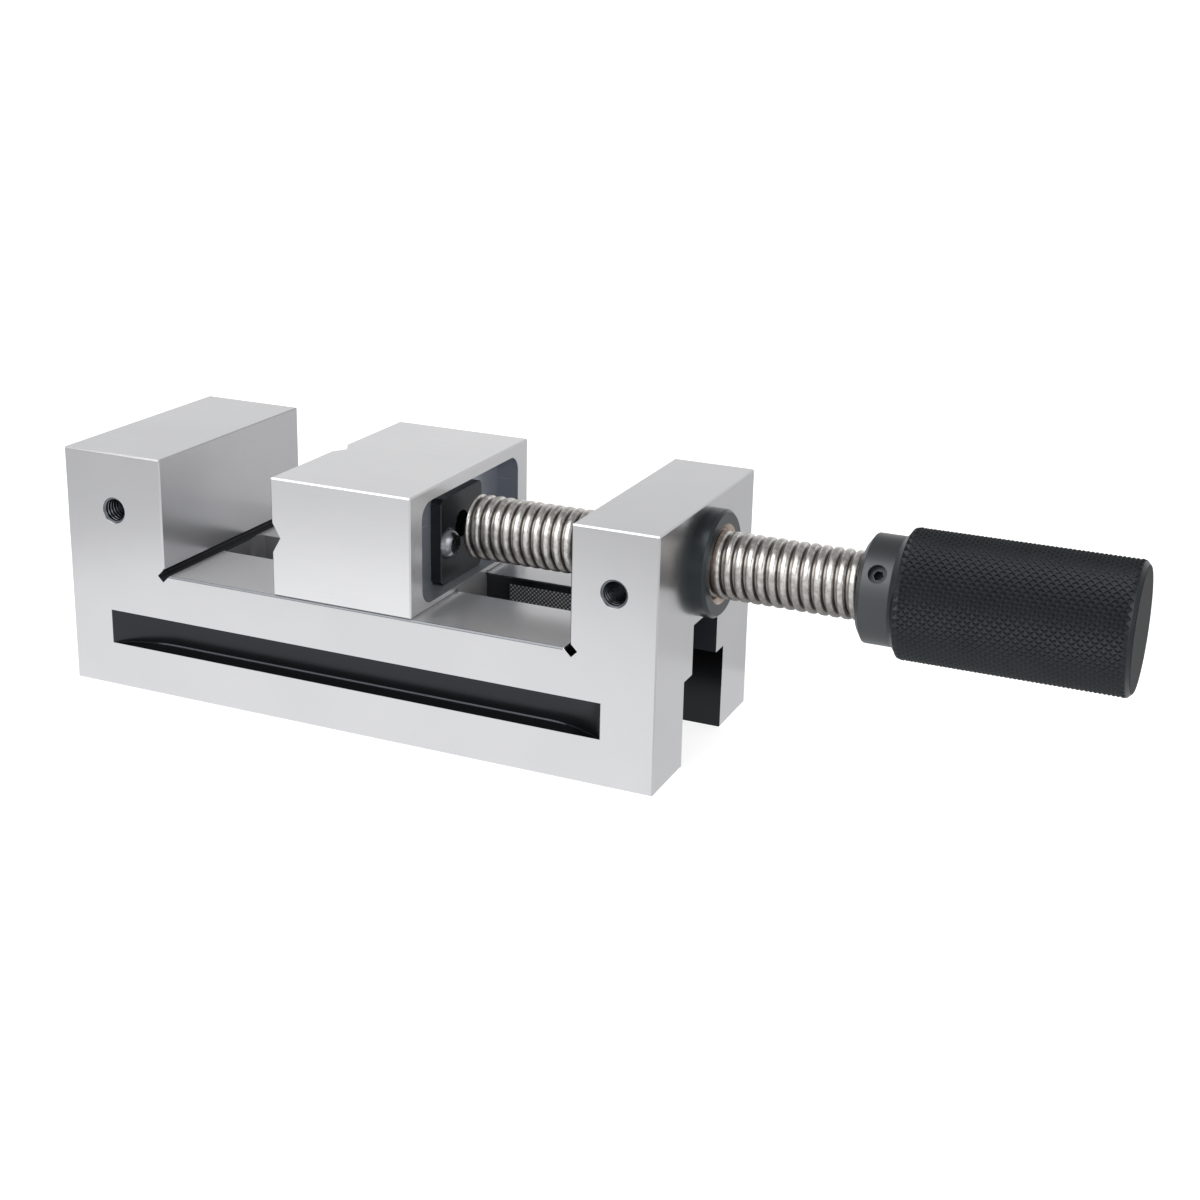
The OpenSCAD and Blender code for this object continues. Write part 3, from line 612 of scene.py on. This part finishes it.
bpy.ops.object.transform_apply(location=True, rotation=True, scale=True)
cut = screw.modifiers.new("pin_hole", "BOOLEAN")
cut.operation = "DIFFERENCE"
cut.solver = "EXACT"
cut.object = drill
bpy.context.view_layer.objects.active = screw
bpy.ops.object.modifier_apply(modifier="pin_hole")
bpy.data.objects.remove(drill)
bpy.ops.object.select_all(action="DESELECT")
screw.select_set(True)
bpy.ops.object.shade_smooth_by_angle(angle=math.radians(40))

# Bright crests with a patchy stain, over a darker brown in the grooves that is partly oil and
# partly painted shade
steel = bpy.data.materials.new("screw_steel")
steel.use_nodes = True
links = steel.node_tree.links
shader = steel.node_tree.nodes["Principled BSDF"]
shader.inputs["Metallic"].default_value = 1
place = steel.node_tree.nodes.new("ShaderNodeTexCoord")
centred = steel.node_tree.nodes.new("ShaderNodeVectorMath")
centred.operation = "SUBTRACT"
centred.inputs[1].default_value = (0, 0, screw_height)
links.new(place.outputs["Object"], centred.inputs[0])
flattened = steel.node_tree.nodes.new("ShaderNodeVectorMath")
flattened.operation = "MULTIPLY"
flattened.inputs[1].default_value = (0, 1, 1)
links.new(centred.outputs[0], flattened.inputs[0])
radius = steel.node_tree.nodes.new("ShaderNodeVectorMath")
radius.operation = "LENGTH"
links.new(flattened.outputs[0], radius.inputs[0])
# groove colour: darker where the radius is small, partly oil and partly painted shade
groove_oil_and_shade = steel.node_tree.nodes.new("ShaderNodeMapRange")
groove_oil_and_shade.inputs["From Min"].default_value = 0.0081
groove_oil_and_shade.inputs["From Max"].default_value = 0.0091
groove_oil_and_shade.interpolation_type = "SMOOTHSTEP"
links.new(radius.outputs["Value"], groove_oil_and_shade.inputs["Value"])
stretched = steel.node_tree.nodes.new("ShaderNodeVectorMath")
stretched.operation = "MULTIPLY"
stretched.inputs[1].default_value = (5000, 120, 120)
links.new(place.outputs["Object"], stretched.inputs[0])
lathe = steel.node_tree.nodes.new("ShaderNodeTexNoise")
lathe.inputs["Scale"].default_value = 1
lathe.inputs["Detail"].default_value = 3
links.new(stretched.outputs[0], lathe.inputs["Vector"])
stain = steel.node_tree.nodes.new("ShaderNodeTexNoise")
stain.inputs["Scale"].default_value = 700
stain.inputs["Detail"].default_value = 3
links.new(place.outputs["Object"], stain.inputs["Vector"])
patches = steel.node_tree.nodes.new("ShaderNodeMapRange")
patches.inputs["From Min"].default_value = 0.40
patches.inputs["From Max"].default_value = 0.60
links.new(stain.outputs[0], patches.inputs["Value"])
crest = steel.node_tree.nodes.new("ShaderNodeMix")
crest.data_type = "RGBA"
crest.inputs[6].default_value = (0.50, 0.48, 0.455, 1)
crest.inputs[7].default_value = (0.74, 0.725, 0.705, 1)
links.new(patches.outputs[0], crest.inputs[0])
colour = steel.node_tree.nodes.new("ShaderNodeMix")
colour.data_type = "RGBA"
colour.inputs[6].default_value = (0.30, 0.28, 0.265, 1)
links.new(groove_oil_and_shade.outputs[0], colour.inputs[0])
links.new(crest.outputs[2], colour.inputs[7])
# Painted shade: the colour darkens towards the underside
height = steel.node_tree.nodes.new("ShaderNodeSeparateXYZ")
links.new(centred.outputs[0], height.inputs[0])
underside_shade = steel.node_tree.nodes.new("ShaderNodeMapRange")
underside_shade.inputs["From Min"].default_value = -0.0085
underside_shade.inputs["From Max"].default_value = 0.0015
underside_shade.inputs["To Min"].default_value = 0.10
links.new(height.outputs["Z"], underside_shade.inputs["Value"])
underside_painted_shade = steel.node_tree.nodes.new("ShaderNodeMix")
underside_painted_shade.data_type = "RGBA"
underside_painted_shade.inputs[6].default_value = (0.10, 0.09, 0.085, 1)
links.new(underside_shade.outputs[0], underside_painted_shade.inputs[0])
links.new(colour.outputs[2], underside_painted_shade.inputs[7])
links.new(underside_painted_shade.outputs[2], shader.inputs["Base Color"])
rough = steel.node_tree.nodes.new("ShaderNodeMapRange")
rough.inputs["To Min"].default_value = 0.20
rough.inputs["To Max"].default_value = 0.40
links.new(lathe.outputs[0], rough.inputs["Value"])
links.new(rough.outputs[0], shader.inputs["Roughness"])
bump = steel.node_tree.nodes.new("ShaderNodeBump")
bump.inputs["Strength"].default_value = 0.12
bump.inputs["Distance"].default_value = 0.00005
links.new(lathe.outputs[0], bump.inputs["Height"])
links.new(bump.outputs[0], shader.inputs["Normal"])
screw.data.materials.clear()
screw.data.materials.append(steel)
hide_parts("spindle")
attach(screw, "screw")


# Nut: black steel sleeve with a flange, pressed into the nut block. Its bore and its mouth are
# bare steel with a film of brown oil, and its thread is a coil that fits the screw's grooves.
coil_start = 0.0140
coil_end = 0.0402
bpy.ops.object.select_all(action="DESELECT")
bpy.ops.mesh.primitive_plane_add(size=0.001)
coil = bpy.context.object
coil.name = "nut_thread"
bpy.ops.object.mode_set(mode="EDIT")
bpy.ops.mesh.select_all(action="SELECT")
bpy.ops.mesh.merge(type="CENTER")
bpy.ops.transform.translate(value=(0, 0.00985, 0))
for step in ((0.00032, -0.00150), (0.00038, 0.0), (0.00032, 0.00150)):
    bpy.ops.mesh.extrude_region_move(TRANSFORM_OT_translate={"value": (step[0], step[1], 0)})
bpy.ops.mesh.select_all(action="SELECT")
bpy.ops.mesh.edge_face_add()
bpy.ops.object.mode_set(mode="OBJECT")
turns = coil.modifiers.new("turns", "SCREW")
turns.axis = "X"
turns.angle = math.tau
turns.screw_offset = pitch
turns.iterations = 11
turns.steps = 48
turns.render_steps = 48
turns.use_merge_vertices = True
turns.merge_threshold = 0.000002
bpy.ops.object.modifier_apply(modifier="turns")
bpy.ops.object.mode_set(mode="EDIT")
bpy.ops.mesh.select_all(action="SELECT")
bpy.ops.transform.translate(value=(0.0067113, 0, screw_height))
bpy.ops.mesh.bisect(
    plane_co=(coil_start, 0, 0), plane_no=(1, 0, 0), use_fill=True, clear_inner=True)
bpy.ops.mesh.select_all(action="SELECT")
bpy.ops.mesh.bisect(
    plane_co=(coil_end, 0, 0), plane_no=(1, 0, 0), use_fill=True, clear_outer=True)
bpy.ops.mesh.select_all(action="SELECT")
bpy.ops.mesh.normals_make_consistent(inside=False)
bpy.ops.object.mode_set(mode="OBJECT")
bpy.ops.object.shade_smooth_by_angle(angle=math.radians(40))

# A black film outside, and bare oiled steel where the distance from the axis is small
black = bpy.data.materials.new("nut_steel")
black.use_nodes = True
links = black.node_tree.links
shader = black.node_tree.nodes["Principled BSDF"]
shader.inputs["Metallic"].default_value = 0.8
place = black.node_tree.nodes.new("ShaderNodeTexCoord")
centred = black.node_tree.nodes.new("ShaderNodeVectorMath")
centred.operation = "SUBTRACT"
centred.inputs[1].default_value = (0, 0, screw_height)
links.new(place.outputs["Object"], centred.inputs[0])
flattened = black.node_tree.nodes.new("ShaderNodeVectorMath")
flattened.operation = "MULTIPLY"
flattened.inputs[1].default_value = (0, 1, 1)
links.new(centred.outputs[0], flattened.inputs[0])
radius = black.node_tree.nodes.new("ShaderNodeVectorMath")
radius.operation = "LENGTH"
links.new(flattened.outputs[0], radius.inputs[0])
bare = black.node_tree.nodes.new("ShaderNodeMath")
bare.operation = "LESS_THAN"
bare.inputs[1].default_value = 0.01125
links.new(radius.outputs["Value"], bare.inputs[0])
cloud = black.node_tree.nodes.new("ShaderNodeTexNoise")
cloud.inputs["Scale"].default_value = 160
cloud.inputs["Detail"].default_value = 5
links.new(place.outputs["Object"], cloud.inputs["Vector"])
film = black.node_tree.nodes.new("ShaderNodeMix")
film.data_type = "RGBA"
film.inputs[6].default_value = (0.030, 0.036, 0.040, 1)
film.inputs[7].default_value = (0.052, 0.060, 0.064, 1)
links.new(cloud.outputs[0], film.inputs[0])
colour = black.node_tree.nodes.new("ShaderNodeMix")
colour.data_type = "RGBA"
colour.inputs[7].default_value = (0.50, 0.41, 0.35, 1)
links.new(bare.outputs[0], colour.inputs[0])
links.new(film.outputs[2], colour.inputs[6])
links.new(colour.outputs[2], shader.inputs["Base Color"])
shader.inputs["Roughness"].default_value = 0.30
coil.data.materials.clear()
coil.data.materials.append(black)
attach(coil, "base")
nodes["spindle_nut"].data.materials.clear()
nodes["spindle_nut"].data.materials.append(black)


# Handle: one turned bar with a smooth collar and a diamond-knurled grip, blackened. The knurl
# is a tube whose points alternate with its valleys, joined to the turned body, and the bore and
# the set screw's hole are cut last.
knurl_start = 0.09335
knurl_rows = 52
row_length = 0.0011327
points_round = 96
valley_radius = 0.01720
point_radius = 0.01780
rim_radius = 0.01752
set_screw_angle = 33.6
bpy.ops.object.select_all(action="DESELECT")
bpy.ops.mesh.primitive_cylinder_add(
    vertices=points_round, radius=valley_radius, depth=row_length, end_fill_type="NOTHING")
handle = bpy.context.object
handle.name = "handle_turned"
rows = handle.modifiers.new("rows", "ARRAY")
rows.use_relative_offset = False
rows.use_constant_offset = True
rows.constant_offset_displace = (0, 0, row_length)
rows.count = knurl_rows
rows.use_merge_vertices = True
rows.merge_threshold = 0.000002
bpy.ops.object.modifier_apply(modifier="rows")
bpy.ops.object.mode_set(mode="EDIT")
bpy.ops.mesh.select_mode(type="VERT")
bpy.ops.mesh.select_all(action="DESELECT")
bpy.ops.object.mode_set(mode="OBJECT")
for v in handle.data.vertices:
    row = round(v.co.z / row_length + 0.5)
    column = round(math.atan2(v.co.y, v.co.x) / math.tau * points_round)
    v.select = (row + column) % 2 == 0 and 0 < row < knurl_rows
bpy.ops.object.mode_set(mode="EDIT")
raised = point_radius / valley_radius
bpy.ops.transform.resize(value=(raised, raised, 1), center_override=(0, 0, 0))
bpy.ops.mesh.select_all(action="DESELECT")
bpy.ops.object.mode_set(mode="OBJECT")
for v in handle.data.vertices:
    v.select = round(v.co.z / row_length + 0.5) in (0, knurl_rows)
bpy.ops.object.mode_set(mode="EDIT")
raised = rim_radius / valley_radius
bpy.ops.transform.resize(value=(raised, raised, 1), center_override=(0, 0, 0))
bpy.ops.mesh.select_all(action="SELECT")
bpy.ops.mesh.quads_convert_to_tris(quad_method="SHORTEST_DIAGONAL")
bpy.ops.mesh.select_all(action="DESELECT")
bpy.ops.mesh.select_non_manifold()
bpy.ops.mesh.edge_face_add()
bpy.ops.mesh.select_all(action="SELECT")
bpy.ops.transform.rotate(value=math.pi / 2, orient_axis="Y", center_override=(0, 0, 0))
bpy.ops.object.mode_set(mode="OBJECT")
bpy.context.view_layer.update()
corner = min(v.co.x for v in handle.data.vertices)
bpy.ops.object.mode_set(mode="EDIT")
bpy.ops.mesh.select_all(action="SELECT")
bpy.ops.transform.translate(value=(knurl_start - corner, 0, screw_height))
bpy.ops.mesh.normals_make_consistent(inside=False)
bpy.ops.object.mode_set(mode="OBJECT")

# The turned body: chamfered collar, cone, core of the grip and the grip's chamfered rim
bpy.ops.object.select_all(action="DESELECT")
bpy.ops.mesh.primitive_plane_add(size=0.001)
turned = bpy.context.object
bpy.ops.object.mode_set(mode="EDIT")
bpy.ops.mesh.select_all(action="SELECT")
bpy.ops.mesh.merge(type="CENTER")
bpy.ops.transform.translate(value=(0.0821, 0, 0))
for step in (
    (0.0, 0.01270), (0.00010, 0.00015), (0.00127, 0.00193), (0.00020, 0.00012),
    (0.00763, 0.0), (0.00015, 0.00010), (0.00195, 0.00230), (0.00010, 0.00020),
    (0.0, -0.00090), (0.05860, 0.0), (0.0, 0.00090), (0.00015, -0.00005),
    (0.00095, -0.00095), (0.00010, -0.00020), (0.0, -0.0163),
):
    bpy.ops.mesh.extrude_region_move(TRANSFORM_OT_translate={"value": (step[0], step[1], 0)})
bpy.ops.mesh.select_all(action="SELECT")
bpy.ops.mesh.spin(steps=points_round, angle=math.tau, center=(0, 0, 0), axis=(1, 0, 0))
bpy.ops.mesh.select_all(action="SELECT")
bpy.ops.mesh.remove_doubles(threshold=0.000001)
bpy.ops.mesh.normals_make_consistent(inside=False)
bpy.ops.transform.translate(value=(0, 0, screw_height))
bpy.ops.object.mode_set(mode="OBJECT")
join = handle.modifiers.new("join", "BOOLEAN")
join.operation = "UNION"
join.solver = "EXACT"
join.object = turned
bpy.context.view_layer.objects.active = handle
bpy.ops.object.modifier_apply(modifier="join")
bpy.data.objects.remove(turned)

# The bore for the screw's plain end, and the set screw's hole in the collar
lean = math.radians(set_screw_angle)
for radius, depth, spot, turn in (
    (0.00702, 0.0600, (0.0821, 0, screw_height), (0, math.pi / 2, 0)),
    (0.00250, 0.0180,
     (0.08762, -0.0090 * math.cos(lean), screw_height + 0.0090 * math.sin(lean)),
     (math.radians(90 - set_screw_angle), 0, 0)),
):
    bpy.ops.object.select_all(action="DESELECT")
    bpy.ops.mesh.primitive_cylinder_add(
        vertices=48, radius=radius, depth=depth, location=spot, rotation=turn)
    drill = bpy.context.object
    bpy.ops.object.transform_apply(location=True, rotation=True, scale=True)
    cut = handle.modifiers.new("cut", "BOOLEAN")
    cut.operation = "DIFFERENCE"
    cut.solver = "EXACT"
    cut.object = drill
    bpy.context.view_layer.objects.active = handle
    bpy.ops.object.modifier_apply(modifier="cut")
    bpy.data.objects.remove(drill)
bpy.ops.object.select_all(action="DESELECT")
handle.select_set(True)
bpy.ops.object.shade_smooth_by_angle(angle=math.radians(14))

# Black oxide, lighter on the collar, where it is rubbed and has painted sheen, and matt and
# darker on the end face, where the darkening is painted shade
black = bpy.data.materials.new("handle_black")
black.use_nodes = True
links = black.node_tree.links
shader = black.node_tree.nodes["Principled BSDF"]
shader.inputs["Metallic"].default_value = 0.8
place = black.node_tree.nodes.new("ShaderNodeTexCoord")
cloud = black.node_tree.nodes.new("ShaderNodeTexNoise")
cloud.inputs["Scale"].default_value = 140
cloud.inputs["Detail"].default_value = 6
links.new(place.outputs["Object"], cloud.inputs["Vector"])
film = black.node_tree.nodes.new("ShaderNodeMix")
film.data_type = "RGBA"
film.inputs[6].default_value = (0.021, 0.025, 0.028, 1)
film.inputs[7].default_value = (0.037, 0.042, 0.046, 1)
links.new(cloud.outputs[0], film.inputs[0])
smooth = black.node_tree.nodes.new("ShaderNodeGroup")
smooth.node_tree = bpy.data.node_groups["box_mask"]
smooth.inputs["Low"].default_value = (0.0815, -0.0010, 0.0350)
smooth.inputs["High"].default_value = (0.0932, 0.0160, 0.0760)
# partly painted sheen: the collar's film is lighter than the grip's
rubbed_and_sheen = black.node_tree.nodes.new("ShaderNodeMix")
rubbed_and_sheen.data_type = "RGBA"
rubbed_and_sheen.inputs[7].default_value = (0.088, 0.093, 0.099, 1)
links.new(smooth.outputs[0], rubbed_and_sheen.inputs[0])
links.new(film.outputs[2], rubbed_and_sheen.inputs[6])
edge = black.node_tree.nodes.new("ShaderNodeGroup")
edge.node_tree = bpy.data.node_groups["edge_wear"]
edge.inputs["Radius"].default_value = 0.0003
colour = black.node_tree.nodes.new("ShaderNodeMix")
colour.data_type = "RGBA"
colour.inputs[7].default_value = (0.047, 0.050, 0.054, 1)
links.new(edge.outputs["Edge"], colour.inputs[0])
faced = black.node_tree.nodes.new("ShaderNodeGroup")
faced.node_tree = bpy.data.node_groups["box_mask"]
faced.inputs["Low"].default_value = (0.1531, -0.0010, 0.0350)
faced.inputs["High"].default_value = (0.1540, 0.0190, 0.0760)
# painted shade: the end face is darker
darker = black.node_tree.nodes.new("ShaderNodeMix")
darker.data_type = "RGBA"
darker.inputs[7].default_value = (0.014, 0.016, 0.018, 1)
links.new(faced.outputs[0], darker.inputs[0])
links.new(rubbed_and_sheen.outputs[2], darker.inputs[6])
links.new(darker.outputs[2], colour.inputs[6])
links.new(colour.outputs[2], shader.inputs["Base Color"])
rough = black.node_tree.nodes.new("ShaderNodeMapRange")
rough.inputs["To Min"].default_value = 0.34
rough.inputs["To Max"].default_value = 0.46
links.new(cloud.outputs[0], rough.inputs["Value"])
matt = black.node_tree.nodes.new("ShaderNodeMath")
matt.operation = "MULTIPLY"
matt.inputs[1].default_value = 0.62
links.new(faced.outputs[0], matt.inputs[0])
rougher = black.node_tree.nodes.new("ShaderNodeMath")
rougher.operation = "MAXIMUM"
links.new(rough.outputs[0], rougher.inputs[0])
links.new(matt.outputs[0], rougher.inputs[1])
links.new(rougher.outputs[0], shader.inputs["Roughness"])
handle.data.materials.clear()
handle.data.materials.append(black)
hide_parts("handle")
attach(handle, "screw")


# Ground: a white sheet. Its lit colour carries the shadow, and the light that it adds for
# camera, glossy and transmission rays brings it up to the white of the background.
bpy.ops.object.select_all(action="DESELECT")
bpy.ops.mesh.primitive_plane_add(size=60, location=(0, 0, -0.0002))
ground = bpy.context.object
ground.name = "ground"
paper = bpy.data.materials.new("white_ground")
paper.use_nodes = True
links = paper.node_tree.links
shader = paper.node_tree.nodes["Principled BSDF"]
shader.inputs["Base Color"].default_value = (0.62, 0.62, 0.62, 1)
shader.inputs["Roughness"].default_value = 1
shader.inputs["Specular IOR Level"].default_value = 0
ray = paper.node_tree.nodes.new("ShaderNodeLightPath")
seen = ray.outputs["Is Camera Ray"]
for kind in ("Is Glossy Ray", "Is Transmission Ray"):
    either = paper.node_tree.nodes.new("ShaderNodeMath")
    either.operation = "MAXIMUM"
    links.new(seen, either.inputs[0])
    links.new(ray.outputs[kind], either.inputs[1])
    seen = either.outputs[0]
lift = paper.node_tree.nodes.new("ShaderNodeMath")
lift.operation = "MULTIPLY"
lift.inputs[1].default_value = 0.78
links.new(seen, lift.inputs[0])
shader.inputs["Emission Color"].default_value = (1, 1, 1, 1)
links.new(lift.outputs[0], shader.inputs["Emission Strength"])
ground.data.materials.append(paper)


# Cards on the ground that only reflections show: a grey one behind the vise for the faces along
# X, a lighter one beside the nut block for its foot, and a bright one in front that fades with
# distance, for the shading of the near sides.
for name, size, spot, near, far in (
    ("card_behind", 1.0, (0.20, 0.56, 0.0), 0.66, 0.66),
    ("card_beside", 0.14, (0.107, -0.01, 0.0), 0.80, 0.80),
    ("card_in_front", 3.0, (-0.30, -1.5366, 0.0), 1.15, 0.74),
):
    bpy.ops.object.select_all(action="DESELECT")
    bpy.ops.mesh.primitive_plane_add(size=size, location=spot)
    card = bpy.context.object
    card.name = name
    bpy.ops.object.transform_apply(location=True, rotation=True, scale=True)
    card.visible_camera = False
    card.visible_shadow = False
    card.visible_diffuse = False
    glow = bpy.data.materials.new(name)
    glow.use_nodes = True
    links = glow.node_tree.links
    shader = glow.node_tree.nodes["Principled BSDF"]
    shader.inputs["Base Color"].default_value = (0, 0, 0, 1)
    shader.inputs["Specular IOR Level"].default_value = 0
    shader.inputs["Emission Color"].default_value = (1, 1, 1, 1)
    place = glow.node_tree.nodes.new("ShaderNodeTexCoord")
    distance = glow.node_tree.nodes.new("ShaderNodeVectorMath")
    distance.operation = "DISTANCE"
    distance.inputs[1].default_value = (-0.10, -0.03, 0)
    links.new(place.outputs["Object"], distance.inputs[0])
    fade = glow.node_tree.nodes.new("ShaderNodeMapRange")
    fade.interpolation_type = "SMOOTHSTEP"
    fade.inputs["From Min"].default_value = 0.125
    fade.inputs["From Max"].default_value = 0.205
    fade.inputs["To Min"].default_value = near
    fade.inputs["To Max"].default_value = far
    links.new(distance.outputs["Value"], fade.inputs["Value"])
    links.new(fade.outputs[0], shader.inputs["Emission Strength"])
    card.data.materials.append(glow)


# Light: a white surround that dims towards the zenith for all but the camera's rays, a large
# soft lamp above in front on the left and a weak one on the right.
world = bpy.data.worlds.new("surround")
bpy.context.scene.world = world
world.use_nodes = True
links = world.node_tree.links
surround = world.node_tree.nodes["Background"]
surround.inputs["Color"].default_value = (1, 1, 1, 1)
way = world.node_tree.nodes.new("ShaderNodeTexCoord")
axes = world.node_tree.nodes.new("ShaderNodeSeparateXYZ")
links.new(way.outputs["Generated"], axes.inputs[0])
dome = world.node_tree.nodes.new("ShaderNodeMapRange")
dome.interpolation_type = "SMOOTHSTEP"
dome.inputs["From Min"].default_value = 0.10
dome.inputs["From Max"].default_value = 0.80
dome.inputs["To Min"].default_value = 1.0
dome.inputs["To Max"].default_value = 0.34
links.new(axes.outputs["Z"], dome.inputs["Value"])
ray = world.node_tree.nodes.new("ShaderNodeLightPath")
level = world.node_tree.nodes.new("ShaderNodeMath")
level.operation = "MAXIMUM"
links.new(dome.outputs[0], level.inputs[0])
links.new(ray.outputs["Is Camera Ray"], level.inputs[1])
links.new(level.outputs[0], surround.inputs["Strength"])
for name, spot, size, power in (
    ("key", (-0.55, -0.95, 1.25), 1.4, 15),
    ("fill", (1.10, -0.60, 0.70), 0.8, 3),
):
    lamp = bpy.data.lights.new(name, "AREA")
    lamp.size = size
    lamp.energy = power
    holder = bpy.data.objects.new(name, lamp)
    bpy.context.collection.objects.link(holder)
    holder.location = spot
    away = math.hypot(spot[0], spot[1])
    holder.rotation_euler = (math.atan2(away, spot[2]), 0, math.atan2(spot[0], -spot[1]))


# Camera: as the photograph was taken, about half a metre away. The shift is the small one that
# the photograph's framing needs.
eye = bpy.data.cameras.new("camera")
eye.lens = 55.257
eye.shift_y = -0.0833
eye.sensor_width = 36
holder = bpy.data.objects.new("camera", eye)
bpy.context.collection.objects.link(holder)
holder.location = (0.201090, -0.454352, 0.216633)
holder.rotation_euler = (1.280458, -0.020831, 0.415951)
scene = bpy.context.scene
scene.camera = holder
scene.view_settings.view_transform = "Standard"
